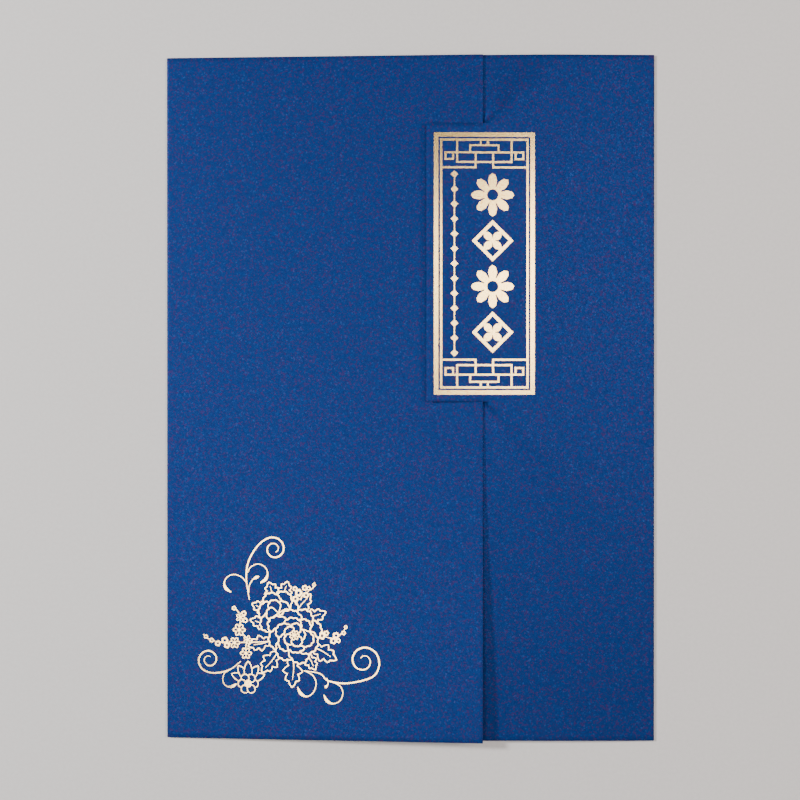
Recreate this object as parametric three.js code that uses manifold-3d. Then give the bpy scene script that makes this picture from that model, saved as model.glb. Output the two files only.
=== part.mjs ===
import * as THREE from 'three';
import { mergeVertices } from 'three/addons/utils/BufferGeometryUtils.js';
import Module from 'manifold-3d';

const wasm = await Module();
wasm.setup();

// Every size is in millimetres. The closed folder lies on its back: X runs across it,
// Y towards its top edge and Z out of its front. The origin is under its middle.

// The card: one sheet, creased twice, with a wide left cover over a narrower right one
const folderWidth = 220;
const folderHeight = 308;
const cardThickness = 0.4;
const foldInnerGap = 0.7;
const leftCoverWidth = 143;
const rightCoverReach = 102.2;
const foldSteps = 4;

// The lift of the closed covers: they stand a little proud, most at the lower free corner
const seamLift = 3.9;
const cornerLift = 8.8;
const curlLength = 135;
const curlSteps = 10;
const coverSteps = 10;

// The tab: cut out of the right cover by two slits, and laid over the left cover
const tabFromBottom = 152.3;
const tabHeight = 125;
const slitPastSeam = 2.2;
const slitWidth = 0.3;
const tabClearance = 0.3;
const stripClearance = 0.4;
const reliefLength = 30;
const reliefSteps = 4;
const rightCoverSteps = 6;

// Clearances between the bodies
const hingeClearance = 0.3;
const partingGap = 0.05;

// Hot-stamped foil
const foilThickness = 0.1;
const foilGap = 0.05;
const pointTolerance = 0.0005;
const outlineTolerance = 0.03;
const shortestEdge = 0.06;
const slimmestHole = 0.08;

// The label on the tab: a band, a line frame with lattice panels, motifs and a side chain
const labelInset = 3.3;
const labelWidth = 45.2;
const labelHeight = 117.4;
const labelAboveTabBottom = 3.2;
const bandWidth = 2;
const bandGap = 0.75;
const frameLine = 1;
const latticeLine = 0.85;
const latticeColumn = 12.2;
const latticePost = 1.6;
const latticeTopHalf = 6.35;
const latticeStep = 3.9;
const squareInner = 14;
const squareOuter = 17.4;
const levelTop = 3;
const levelLong = 6.2;
const levelSquare = 9.2;
const levelLow = 10.5;
const levelClose = 12.9;
const motifColumn = 3.7;
const motifPitch = 20.5;
const motifRadius = 9.3;
const motifLine = 1.5;
const rosettePetals = 8;
const rosettePetalBreadth = 4;
const rosettePetalSteps = 8;
const hubRadius = 3.35;
const hubSteps = 12;
const lozengeLeafBreadth = 3.5;
const lozengeLeafSteps = 4;
const chainColumn = -13.4;
const chainLength = 80;
const chainBeads = 13;
const chainLine = 0.5;
const beadRadius = 1.7;

// The ornament at the left cover's lower corner, drawn about its own middle
const ornamentFromFold = 55.3;
const ornamentFromBottom = 53.6;
const petalLine = 0.66;
const petalWaist = 0.52;
const petalRimReach = 2.15;
const petalLobeDepth = 0.1;
const petalVariety = 0.07;
const goldenAngle = 2.4;
const leafLine = 0.62;
const ribLength = 0.74;
const sprigLine = 0.5;
const sprigSteps = 5;
const vineWidth = 0.95;
const vineTip = 0.5;
const vineSwell = 4;
const budWidth = 1.5;
const budPlace = 0.86;
const budReach = 0.12;
const spiralSteps = 12;
const spiralPower = 0.8;
const scrollSteps = 5;
const scrollStepsPerPoint = 1.5;
const tinyBlossom = 2;
const blossomNotch = 0.32;
const blossomSeat = 0.8;
const eyeShare = 0.36;
const slotMiddle = 0.52;
const slotHalf = 0.24;
const slotBreadth = 0.17;
const heartRadius = 2.4;

const navyCard = { color: 0x1b4486, roughness: 0.55, metalness: 0.15 };
const paleGoldFoil = { color: 0xdccba4, roughness: 0.3, metalness: 0.9 };

// Places that follow from the sizes
const coverTop = 2 * cardThickness + foldInnerGap;
const foldRadius = coverTop / 2;
const foldInnerRadius = foldInnerGap / 2;
const leftFoldX = foldRadius - folderWidth / 2;
const rightFoldX = folderWidth / 2 - foldRadius;
const seamX = leftCoverWidth - folderWidth / 2;
const slitEndX = seamX + slitPastSeam;
const tabEdgeX = folderWidth / 2 - rightCoverReach;
const bottomY = -folderHeight / 2;
const topY = folderHeight / 2;
const tabBottomY = bottomY + tabFromBottom;
const tabTopY = tabBottomY + tabHeight;
const notchBottomY = tabBottomY - slitWidth;
const notchTopY = tabTopY + slitWidth;
const curlStartY = bottomY + curlLength;
const tabOverSeam = coverTop + seamLift + tabClearance + cardThickness;

const { lerp } = THREE.MathUtils;
const ease = (value) => THREE.MathUtils.smoothstep(value, 0, 1);
const polar = (radius, angle) => [radius * Math.cos(angle), radius * Math.sin(angle)];
const fullTurn = 2 * Math.PI;

// Heights of the covers' outer faces

function leftCoverTop(x, y) {
  const lift = lerp(seamLift, cornerLift, ease((curlStartY - y) / curlLength));
  return coverTop + lift * (x - leftFoldX) / (seamX - leftFoldX);
}

function stripTop(x) {
  return leftCoverTop(x, curlStartY) - cardThickness - stripClearance;
}

// Beside and under the label the right cover is one plane, which clears the left cover's edge
function labelPlane(x) {
  return coverTop + (tabOverSeam - coverTop) * (rightFoldX - x) / (rightFoldX - seamX);
}

function rightCoverTop(x, y) {
  if (x <= seamX) return stripTop(x);
  const away = Math.max(notchBottomY - y, y - notchTopY, 0);
  const rootTop = lerp(labelPlane(slitEndX), stripTop(seamX), ease(away / reliefLength));
  if (x < slitEndX) return lerp(stripTop(seamX), rootTop, (x - seamX) / slitPastSeam);
  return lerp(rootTop, coverTop, (x - slitEndX) / (rightFoldX - slitEndX));
}

// Sheets of card

// A station is a place across the section: its outer and inner faces' [x, z] at a row's y
const coverStation = (x, top) => (y) => ({ outer: [x, top(x, y)], inner: [x, top(x, y) - cardThickness] });

function foldStations(axisX, fromAngle, toAngle) {
  return Array.from({ length: foldSteps + 1 }, (_, step) => {
    const angle = lerp(fromAngle, toAngle, step / foldSteps);
    const at = (radius) => [axisX + radius * Math.cos(angle), foldRadius + radius * Math.sin(angle)];
    return () => ({ outer: at(foldRadius), inner: at(foldInnerRadius) });
  });
}

function spread(from, to, steps) {
  return Array.from({ length: steps + 1 }, (_, step) => lerp(from, to, step / steps));
}

function bentSheet(stations, rows, keep = () => true) {
  const positions = [];
  for (const station of stations) {
    for (const y of rows) {
      const { outer, inner } = station(y);
      positions.push(outer[0], y, outer[1], inner[0], y, inner[1]);
    }
  }
  const outer = (i, j) => 2 * (i * rows.length + j);
  const inner = (i, j) => outer(i, j) + 1;
  const filled = (i, j) =>
    i >= 0 && j >= 0 && i < stations.length - 1 && j < rows.length - 1 && keep(i, j);
  const index = [];
  const quad = (a, b, c, d) => index.push(a, b, c, a, c, d);
  for (let i = 0; i < stations.length - 1; i++) {
    for (let j = 0; j < rows.length - 1; j++) {
      if (!filled(i, j)) continue;
      quad(outer(i, j), outer(i + 1, j), outer(i + 1, j + 1), outer(i, j + 1));
      quad(inner(i, j), inner(i, j + 1), inner(i + 1, j + 1), inner(i + 1, j));
      if (!filled(i - 1, j)) quad(outer(i, j), outer(i, j + 1), inner(i, j + 1), inner(i, j));
      if (!filled(i + 1, j)) {
        quad(outer(i + 1, j + 1), outer(i + 1, j), inner(i + 1, j), inner(i + 1, j + 1));
      }
      if (!filled(i, j - 1)) quad(outer(i + 1, j), outer(i, j), inner(i, j), inner(i + 1, j));
      if (!filled(i, j + 1)) {
        quad(outer(i, j + 1), outer(i + 1, j + 1), inner(i + 1, j + 1), inner(i, j + 1));
      }
    }
  }
  const geometry = new THREE.BufferGeometry();
  geometry.setAttribute('position', new THREE.Float32BufferAttribute(positions, 3));
  geometry.setIndex(index);
  geometry.computeVertexNormals();
  return geometry;
}

function leftCoverSheet() {
  const across = spread(leftFoldX, seamX, coverSteps).slice(1);
  const stations = [
    ...foldStations(leftFoldX, 1.5 * Math.PI, 0.5 * Math.PI),
    ...across.map((x) => coverStation(x, leftCoverTop)),
  ];
  return bentSheet(stations, [...spread(bottomY, curlStartY, curlSteps), topY]);
}

function baseCardSheet() {
  const across = [tabEdgeX, seamX, ...spread(slitEndX, rightFoldX, rightCoverSteps).slice(0, -1)];
  const backEdgeX = leftFoldX + foldRadius + hingeClearance;
  const stations = [
    ...across.map((x) => coverStation(x, rightCoverTop)),
    ...foldStations(rightFoldX, 0.5 * Math.PI, -0.5 * Math.PI),
    () => ({ outer: [backEdgeX, 0], inner: [backEdgeX, cardThickness] }),
  ];
  const below = spread(notchBottomY - reliefLength, notchBottomY, reliefSteps);
  const above = spread(notchTopY, notchTopY + reliefLength, reliefSteps);
  const inside = [...below, ...above].filter((y) => y > bottomY && y < topY);
  const rows = [bottomY, ...inside, topY];
  const slitStation = across.indexOf(slitEndX);
  const inNotch = (j) => rows[j] >= notchBottomY && rows[j + 1] <= notchTopY;
  return bentSheet(stations, rows, (i, j) => i >= slitStation || !inNotch(j));
}

function closureTabSheet() {
  const across = [tabEdgeX, slitEndX - partingGap];
  return bentSheet(across.map((x) => coverStation(x, labelPlane)), [tabBottomY, tabTopY]);
}

// Flat foil shapes

function bareExtrusion(points, holes = []) {
  const toVectors = (list) => list.map(([x, y]) => new THREE.Vector2(x, y));
  const shape = new THREE.Shape(toVectors(points));
  shape.holes = holes.map((hole) => new THREE.Path(toVectors(hole)));
  const geometry = new THREE.ExtrudeGeometry(shape, { depth: foilThickness, bevelEnabled: false });
  geometry.deleteAttribute('normal');
  geometry.deleteAttribute('uv');
  return geometry;
}

function foilFrom(points, holes) {
  const merged = mergeVertices(bareExtrusion(points, holes));
  return new wasm.Manifold(new wasm.Mesh({
    numProp: 3,
    vertProperties: new Float32Array(merged.attributes.position.array),
    triVerts: new Uint32Array(merged.index.array),
  }));
}

// Bars that meet share their corners to the micron
function rectangle(...edges) {
  const [x0, x1, y0, y1] = edges.map((edge) => Math.round(edge * 1000) / 1000);
  return [[x0, y0], [x1, y0], [x1, y1], [x0, y1]];
}

function joined(solids) {
  return solids.reduce((sum, solid) => sum.add(solid));
}

function loop(count, radiusAt, centre = [0, 0]) {
  return Array.from({ length: count }, (_, step) => {
    const angle = fullTurn * step / count;
    const [x, y] = polar(radiusAt(angle), angle);
    return [centre[0] + x, centre[1] + y];
  });
}

// The closed loops that bound a flat foil's upper face
function boundaryLoops(solid) {
  const { vertProperties, triVerts } = solid.getMesh();
  const points = new Map();
  const keyOf = (vertex) => {
    const point = [vertProperties[3 * vertex], vertProperties[3 * vertex + 1]];
    const key = point.map((value) => Math.round(value / pointTolerance)).join();
    if (!points.has(key)) points.set(key, point);
    return key;
  };
  const isUpper = (vertex) => vertProperties[3 * vertex + 2] > foilThickness / 2;
  const edges = new Map();
  for (let at = 0; at < triVerts.length; at += 3) {
    const corners = [0, 1, 2].map((corner) => triVerts[at + corner]);
    if (!corners.every(isUpper)) continue;
    corners.map(keyOf).forEach((from, corner, keys) => {
      const to = keys[(corner + 1) % 3];
      if (from === to) return;
      if (!edges.delete(`${to}>${from}`)) edges.set(`${from}>${to}`, [from, to]);
    });
  }
  const onward = new Map([...edges.values()]);
  const loops = [];
  while (onward.size) {
    const loopKeys = [onward.keys().next().value];
    for (let key = onward.get(loopKeys[0]); key && key !== loopKeys[0]; key = onward.get(key)) {
      loopKeys.push(key);
      if (loopKeys.length > edges.size) break;
    }
    for (const key of loopKeys) onward.delete(key);
    loops.push(loopKeys.map((key) => points.get(key)));
  }
  return loops;
}

// Takes out the points that a smooth outline doesn't need, every other one at a time
function tidiedLoop(points) {
  let kept = points;
  let settled = 0;
  while (settled < 2 && kept.length > 2) {
    const thinned = kept.filter((point, at) => {
      if (at % 2) return true;
      const previous = kept[(at + kept.length - 1) % kept.length];
      const next = kept[(at + 1) % kept.length];
      const [dx, dy] = [next[0] - previous[0], next[1] - previous[1]];
      const chord = Math.hypot(dx, dy) || 1;
      const off = Math.abs(dx * (point[1] - previous[1]) - dy * (point[0] - previous[0])) / chord;
      const step = Math.hypot(point[0] - previous[0], point[1] - previous[1]);
      return off > outlineTolerance && step > shortestEdge;
    });
    settled = thinned.length === kept.length ? settled + 1 : 0;
    kept = [...thinned.slice(1), ...thinned.slice(0, 1)];
  }
  return kept;
}

function loopArea(points) {
  return THREE.ShapeUtils.area(points.map(([x, y]) => ({ x, y })));
}

function loopLength(points) {
  return points.reduce((sum, [x, y], at) => {
    const [u, v] = points[(at + 1) % points.length];
    return sum + Math.hypot(u - x, v - y);
  }, 0);
}

// One clean extrusion of a flat foil's outline
function redrawn(solid) {
  const loops = boundaryLoops(solid).map(tidiedLoop);
  const broad = loops.filter((points) =>
    points.length > 2 && Math.abs(loopArea(points)) > slimmestHole * loopLength(points) / 2);
  const [outer] = broad.filter((points) => loopArea(points) > 0)
    .sort((one, other) => loopArea(other) - loopArea(one));
  const holes = broad.filter((points) => loopArea(points) < 0);
  return mergeVertices(bareExtrusion(outer, holes));
}

function meshOf(solid) {
  const { vertProperties, triVerts } = solid.getMesh();
  const geometry = new THREE.BufferGeometry();
  geometry.setAttribute('position', new THREE.BufferAttribute(new Float32Array(vertProperties), 3));
  geometry.setIndex(new THREE.BufferAttribute(new Uint32Array(triVerts), 1));
  return geometry;
}

// Lays a flat foil on a surface whose height is heightAt(x, y)
function laid(geometry, [originX, originY], heightAt) {
  const position = geometry.attributes.position;
  for (let at = 0; at < position.count; at++) {
    const x = position.getX(at) + originX;
    const y = position.getY(at) + originY;
    position.setXYZ(at, x, y, position.getZ(at) + heightAt(x, y) + foilGap);
  }
  geometry.computeVertexNormals();
  return geometry;
}

// Label: its own x and y run from the label's middle
const labelX = tabEdgeX + labelInset + labelWidth / 2;
const labelY = tabBottomY + labelAboveTabBottom + labelHeight / 2;
const laidOnLabel = (solid) => laid(meshOf(solid), [labelX, labelY], labelPlane);

function frameRing(outset, line) {
  const half = [labelWidth / 2 - outset, labelHeight / 2 - outset];
  const outer = rectangle(-half[0], half[0], -half[1], half[1]);
  const inner = rectangle(line - half[0], half[0] - line, line - half[1], half[1] - line);
  return foilFrom(outer, [inner]);
}

// One lattice panel, drawn downwards from the line frame's top edge
function latticePanel() {
  const frameOutset = bandWidth + bandGap;
  const top = labelHeight / 2 - frameOutset;
  const side = labelWidth / 2 - frameOutset;
  const half = latticeLine / 2;
  const level = (x0, x1, down) => rectangle(x0 - half, x1 + half, top - down - half, top - down + half);
  const post = (x, from, to) => rectangle(x - half, x + half, top - to - half, top - from + half);
  const bars = [level(-squareOuter, squareOuter, levelLong)];
  bars.push(level(-latticeTopHalf, latticeTopHalf, levelTop));
  bars.push(level(-latticeColumn, latticeColumn, levelLow));
  for (const hand of [-1, 1]) {
    bars.push(post(hand * latticePost, frameLine / 2, levelTop));
    bars.push(post(hand * latticeTopHalf, levelTop, levelLong));
    bars.push(post(hand * latticeColumn, frameLine / 2, levelLow));
    bars.push(post(hand * latticeStep, levelLong, levelClose));
    bars.push(post(hand * squareInner, levelLong, levelSquare));
    bars.push(post(hand * squareOuter, levelLong, levelSquare));
    const [x0, x1] = [hand * squareInner, hand * squareOuter].sort((a, b) => a - b);
    bars.push(level(x0, x1, levelSquare));
    const [c0, c1] = [hand * latticeStep, hand * (side - frameLine / 2)].sort((a, b) => a - b);
    bars.push(level(c0, c1, levelClose));
  }
  return joined(bars.map((bar) => foilFrom(bar)));
}

function labelFrame() {
  const panel = latticePanel();
  return joined([frameRing(bandWidth + bandGap, frameLine), panel, panel.mirror([0, 1, 0])]);
}

// Petals round an open ring
function rosetteMotif() {
  const petalMiddle = (motifRadius + hubRadius) / 2;
  const petalHalf = (motifRadius - hubRadius) / 2 + motifLine / 4;
  const ring = foilFrom(loop(hubSteps, () => hubRadius + motifLine / 2),
    [loop(hubSteps, () => hubRadius - motifLine / 2)]);
  const petal = foilFrom(Array.from({ length: rosettePetalSteps }, (_, step) => {
    const angle = fullTurn * step / rosettePetalSteps;
    return [petalMiddle + petalHalf * Math.cos(angle), rosettePetalBreadth / 2 * Math.sin(angle)];
  }));
  const turned = Array.from({ length: rosettePetals }, (_, step) =>
    petal.rotate([0, 0, 360 * step / rosettePetals]));
  return joined([ring, ...turned]);
}

// A square set on its point, round four leaves that spring from its middle
function lozengeMotif() {
  const diamond = (radius) => [0, 1, 2, 3].map((corner) => polar(radius, fullTurn * corner / 4));
  const frame = foilFrom(diamond(motifRadius), [diamond(motifRadius - motifLine * Math.SQRT2)]);
  const leafLength = motifRadius / Math.SQRT2 - motifLine / 2;
  const side = (hand) => Array.from({ length: lozengeLeafSteps }, (_, step) => {
    const along = (step + 0.5) / lozengeLeafSteps;
    return [leafLength * along, hand * lozengeLeafBreadth / 2 * Math.sin(Math.PI * along)];
  });
  const leaf = foilFrom([[-motifLine / 2, 0], ...side(-1), [leafLength + motifLine / 4, 0],
    ...side(1).reverse()]);
  const leaves = [45, 135, 225, 315].map((degrees) => leaf.rotate([0, 0, degrees]));
  return joined([frame, ...leaves]);
}

// A fine line strung with small lozenges, drawn as one outline
function sideChain() {
  const half = chainLine / 2;
  const shoulder = beadRadius - half;
  const up = spread(-chainLength / 2, chainLength / 2, chainBeads - 1)
    .flatMap((y) => [[half, y - shoulder], [beadRadius, y], [half, y + shoulder]]);
  const down = up.map(([x, y]) => [-x, y]).reverse();
  return foilFrom([...up, ...down].map(([x, y]) => [chainColumn + x, y]));
}

// Ornament: peonies, lobed leaves, blossom sprigs and scrolls, drawn as lines

function insetLoop(points, distance) {
  return points.map(([x, y], at) => {
    const before = points[(at + points.length - 1) % points.length];
    const after = points[(at + 1) % points.length];
    const [dx, dy] = [after[0] - before[0], after[1] - before[1]];
    const length = Math.hypot(dx, dy);
    return [x - distance * dy / length, y + distance * dx / length];
  });
}

// Draws a closed shape's outline over what lies behind it
function drawnOver(ink, points, line) {
  const outline = foilFrom(points, [insetLoop(points, line)]);
  if (!ink) return outline;
  return ink.subtract(foilFrom(insetLoop(points, line / 2))).add(outline);
}

function placedPoints(points, [x, y], angle) {
  const [cos, sin] = [Math.cos(angle), Math.sin(angle)];
  return points.map(([u, v]) => [x + u * cos - v * sin, y + u * sin + v * cos]);
}

// A fan-shaped petal with a lobed rim, from its foot at the origin along +X
function petalPoints(length, breadth, lobes) {
  const steps = 3 * lobes;
  const rim = Array.from({ length: steps + 1 }, (_, step) => {
    const angle = petalRimReach * (2 * step / steps - 1);
    const swell = step % 3 ? 1 : 1 - petalLobeDepth;
    return [length * lerp(petalWaist, 1, Math.cos(angle) * swell), breadth / 2 * Math.sin(angle) * swell];
  });
  return [[0, 0], ...rim];
}

// Each step down a leaf's side, in shares of its length and of its half breadth
const leafSide = [[0.18, 0.58], [0.3, 0.42], [0.48, 1], [0.57, 0.52], [0.76, 0.7], [0.8, 0.36]];
const crownSide = [[0.3, 0.85], [0.62, 0.9]];

function leafPoints(length, breadth, steps) {
  const side = (hand) => steps.map(([along, aside]) => [along * length, hand * aside * breadth / 2]);
  return [[0, 0], ...side(-1), [length, 0], ...side(1).reverse()];
}

// A stroke along a curve, as wide as widthAt(share) says
function stroke(points, widthAt, steps) {
  const curve = new THREE.SplineCurve(points.map(([x, y]) => new THREE.Vector2(x, y)));
  const sides = [[], []];
  for (let step = 0; step <= steps; step++) {
    const share = step / steps;
    const point = curve.getPointAt(share);
    const tangent = curve.getTangentAt(share);
    const half = widthAt(share) / 2;
    sides[0].push([point.x - half * tangent.y, point.y + half * tangent.x]);
    sides[1].push([point.x + half * tangent.y, point.y - half * tangent.x]);
  }
  return foilFrom([...sides[1], ...sides[0].reverse()]);
}

// A vine is slim at both ends, and a tendril swells to a bud just before its tip
const vineTaper = (share) => lerp(vineTip, vineWidth, ease(vineSwell * Math.min(share, 1 - share)));
const budTaper = (share) =>
  vineTip + (budWidth - vineTip) * Math.exp(-Math.pow((share - budPlace) / budReach, 2));

// A spiral that winds in from one radius to another, for a scroll's end
function curl({ centre, radii, start, turns }) {
  return Array.from({ length: spiralSteps + 1 }, (_, step) => {
    const share = step / spiralSteps;
    const angle = THREE.MathUtils.degToRad(start) + fullTurn * turns * share;
    const [x, y] = polar(lerp(radii[0], radii[1], Math.pow(share, spiralPower)), angle);
    return [centre[0] + x, centre[1] + y];
  });
}

function drawPeony(ink, { centre, rings }) {
  for (const { petals, length, breadth, lobes, turn } of rings) {
    for (let petal = 0; petal < petals; petal++) {
      const vary = 1 + petalVariety * Math.sin(goldenAngle * (petal + petals));
      const angle = turn + fullTurn * petal / petals;
      const points = petalPoints(length * vary, breadth / vary, lobes);
      ink = drawnOver(ink, placedPoints(points, centre, angle), petalLine);
    }
  }
  return ink;
}

function drawLeaf(ink, { foot, angle, length, breadth }) {
  const radians = THREE.MathUtils.degToRad(angle);
  const outline = placedPoints(leafPoints(length, breadth, leafSide), foot, radians);
  const rib = placedPoints([[0, 0], [ribLength * length, 0]], foot, radians);
  return drawnOver(ink, outline, leafLine).add(stroke(rib, () => leafLine, 1));
}

// A round-lobed blossom with a slot in each lobe, or an eye in a tiny one
function drawBlossom(ink, [x, y, radius, lobes = 5]) {
  const rim = (scale) => loop(lobes * 2, (angle) =>
    radius * scale * (1 - blossomNotch * (1 - Math.cos(lobes * angle)) / 2), [x, y]);
  let blossom = foilFrom(rim(1));
  if (radius < tinyBlossom) {
    blossom = blossom.subtract(foilFrom(loop(3, () => radius * eyeShare, [x, y])));
  } else {
    for (let lobe = 0; lobe < lobes; lobe++) {
      const slot = loop(4, () => 1).map(([u, v]) =>
        [radius * (slotMiddle + slotHalf * u), radius * slotBreadth * v]);
      blossom = blossom.subtract(foilFrom(placedPoints(slot, [x, y], fullTurn * lobe / lobes)));
    }
  }
  return ink.subtract(foilFrom(rim(blossomSeat))).add(blossom);
}

function drawSprig(ink, { path, blossoms }) {
  ink = ink.add(stroke(path, () => sprigLine, sprigSteps));
  for (const blossom of blossoms) ink = drawBlossom(ink, blossom);
  return ink;
}

const mainPeony = {
  centre: [2.9, -6.5],
  rings: [
    { petals: 8, length: 12.6, breadth: 10.4, lobes: 5, turn: 0.28 },
    { petals: 6, length: 8.6, breadth: 8.2, lobes: 4, turn: 0.75 },
    { petals: 5, length: 5.2, breadth: 5.2, lobes: 3, turn: 0.1 },
  ],
};

const upperPeony = {
  centre: [-4.2, 3.4],
  rings: [
    { petals: 7, length: 10, breadth: 8.8, lobes: 4, turn: 0.34 },
    { petals: 5, length: 6.2, breadth: 6.2, lobes: 3, turn: 0.9 },
  ],
};

const leaves = [
  { foot: [-5.8, 9.6], angle: 112, length: 8.2, breadth: 7.4 },
  { foot: [-2.5, 9.5], angle: 74, length: 8.5, breadth: 6.8 },
  { foot: [3.5, 3.5], angle: 52, length: 11, breadth: 7 },
  { foot: [7, 0], angle: 22, length: 11, breadth: 7.2 },
  { foot: [11, -11.5], angle: -28, length: 12.5, breadth: 8.4 },
  { foot: [8.5, -15], angle: -60, length: 8, breadth: 6 },
  { foot: [2.4, -16], angle: -92, length: 14, breadth: 9 },
  { foot: [-4.5, -14], angle: -128, length: 12, breadth: 8 },
  { foot: [-7.5, -9], angle: -166, length: 11, breadth: 7.2 },
  { foot: [-8, -2], angle: 166, length: 9.5, breadth: 6.6 },
  { foot: [-9, 4.5], angle: 158, length: 8, breadth: 6.2 },
];

// A sprig's stem, and its blossoms as [x, y, radius, lobes]
const sprigs = [
  {
    path: [[-8.5, -9.5], [-19, -10], [-31, -10], [-37, -8.2], [-38.5, -6.6]],
    blossoms: [[-37.4, -7.6, 1], [-34.8, -9.2, 1.15], [-32, -10.6, 1.4], [-28.8, -9.2, 1.7],
      [-27.8, -11.4, 1.5], [-24.3, -10.2, 2.7, 6], [-18.4, -8.8, 2.1]],
  },
  {
    path: [[-19, -8], [-22, -4], [-21.6, 1.5], [-24, 5.2], [-25.6, 5.6]],
    blossoms: [[-24.6, 5.4, 1.1], [-20.1, 3.1, 1.3], [-19.5, -0.1, 1.3], [-21.7, 1.2, 2.2],
      [-22.2, -4.4, 3, 6]],
  },
  { path: [[-18.4, -8.8], [-19.2, -12], [-19.1, -15]], blossoms: [[-19.1, -14.9, 2.8, 6]] },
  {
    path: [[1, 8.5], [4.2, 11.4], [8, 12.6], [11.6, 15.2], [12, 17.4]],
    blossoms: [[11.8, 16.2, 0.9], [9.4, 14.6, 1.1], [3.2, 14.4, 1.2], [7.6, 14.8, 1.4], [8.2, 11.6, 1.5],
      [4.8, 12.6, 1.8], [3.4, 9.8, 1.6]],
  },
  {
    path: [[13, -6], [16.5, -7], [21, -7.6], [24.6, -5.2], [26.4, -2.2]],
    blossoms: [[26.2, -2.6, 0.9], [25.2, -5.2, 1.1], [17.4, -5.4, 1.3], [21.8, -6.4, 1.6],
      [20.6, -8.8, 1.6], [22.8, -8.7, 1.2], [15.4, -6.6, 1.8]],
  },
];

function peonySpray() {
  let ink = null;
  for (const leaf of leaves) ink = drawLeaf(ink, leaf);
  for (const sprig of sprigs) ink = drawSprig(ink, sprig);
  ink = drawPeony(ink, upperPeony);
  ink = drawPeony(ink, mainPeony);
  return drawBlossom(ink, [...mainPeony.centre, heartRadius, 7]);
}

// A round flower under a crown of small leaves
const rosette = {
  centre: [-18.1, -28.6],
  crownFoot: 1.5,
  crown: [[20, 8], [55, 8], [90, 8.6], [125, 8], [160, 8]],
  crownBreadth: 3.6,
  petals: 6,
  petalMiddle: 2.8,
  petalRadius: 2,
  petalSteps: 8,
  heart: 1.7,
};

function rosetteFlower() {
  const [centreX, centreY] = rosette.centre;
  let ink = null;
  for (const [angle, length] of rosette.crown) {
    const points = leafPoints(length, rosette.crownBreadth, crownSide);
    const foot = [centreX, centreY + rosette.crownFoot];
    ink = drawnOver(ink, placedPoints(points, foot, THREE.MathUtils.degToRad(angle)), sprigLine);
  }
  for (let petal = 0; petal < rosette.petals; petal++) {
    const [x, y] = polar(rosette.petalMiddle, fullTurn * petal / rosette.petals);
    const rim = loop(rosette.petalSteps, () => rosette.petalRadius, [centreX + x, centreY + y]);
    ink = drawnOver(ink, rim, sprigLine);
  }
  return ink.add(foilFrom(loop(rosette.petalSteps, () => rosette.heart, rosette.centre)));
}

const scrolls = {
  upper: [
    { path: [[-17.6, 9.2], [-19, 18.8], [-18, 26.5], [-14, 33.4],
      ...curl({ centre: [-6.4, 32.2], radii: [5.6, 1.6], start: 120, turns: -1.5 })], taper: vineTaper },
    { path: [[-18.6, 21.4], [-13.6, 25.2], [-9.4, 21.4], [-12.6, 16.9]], taper: budTaper },
    { path: [[-17.9, 12.5], [-17.6, 17], [-13.2, 19.9]], taper: budTaper },
    { path: [[-18.5, 16.4], [-24.6, 20.5], [-29.2, 16.6], [-26, 12.6]], taper: budTaper },
  ],
  left: [
    { path: [[-21.5, -18.6], [-26.5, -22.4], [-33, -24],
      ...curl({ centre: [-36, -18], radii: [5.4, 1.5], start: -115, turns: -1.5 })], taper: vineTaper },
    { path: [[-26.4, -22.4], [-29.6, -26], [-26.8, -30.2], [-23.4, -28.8]], taper: budTaper },
  ],
  right: [
    { path: [[7.2, -22.4], [14.5, -23.6], [18.4, -26.8], [27.2, -27.7],
      ...curl({ centre: [34.2, -17.6], radii: [8.2, 1.8], start: -62, turns: 1.55 })], taper: vineTaper },
    { path: [[20.8, -27.4], [24.8, -32.2], [20.4, -37], [16.4, -33.2]], taper: budTaper },
    { path: [[8, -22.5], [12.6, -27.7], [8.4, -34], [4.4, -29.8]], taper: budTaper },
    { path: [[17.6, -25.6], [18.3, -28], [16.8, -30]], taper: budTaper },
  ],
};

function scrollSet(strokes) {
  const steps = (path) => Math.round(scrollSteps + scrollStepsPerPoint * path.length);
  return joined(strokes.map(({ path, taper }) => stroke(path, taper, steps(path))));
}

function laidOnCover(solid) {
  const middle = [ornamentFromFold - folderWidth / 2, bottomY + ornamentFromBottom];
  return laid(redrawn(solid), middle, leftCoverTop);
}

// The finished folder

const group = new THREE.Group();

function addMesh(name, geometry, finish) {
  const mesh = new THREE.Mesh(geometry, new THREE.MeshStandardMaterial(finish));
  mesh.name = name;
  group.add(mesh);
}

const addFoil = (name, geometry) => addMesh(name, geometry, paleGoldFoil);

addMesh('base_card', baseCardSheet(), navyCard);
addMesh('closure_tab', closureTabSheet(), navyCard);
addMesh('left_cover', leftCoverSheet(), navyCard);

addFoil('label_band_foil', laidOnLabel(frameRing(0, bandWidth)));
addFoil('label_frame_foil', laidOnLabel(labelFrame()));
addFoil('label_chain_foil', laidOnLabel(sideChain()));

const motifs = [rosetteMotif(), lozengeMotif(), rosetteMotif(), lozengeMotif()];
motifs.forEach((motif, row) => {
  const y = (motifs.length - 1 - 2 * row) / 2 * motifPitch;
  addFoil(`label_motif_${row + 1}_foil`, laidOnLabel(motif.translate([motifColumn, y, 0])));
});

addFoil('peony_foil', laidOnCover(peonySpray()));
addFoil('rosette_foil', laidOnCover(rosetteFlower()));
for (const [place, strokes] of Object.entries(scrolls)) {
  addFoil(`scroll_${place}_foil`, laidOnCover(scrollSet(strokes)));
}

export default group;
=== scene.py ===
import math

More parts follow.
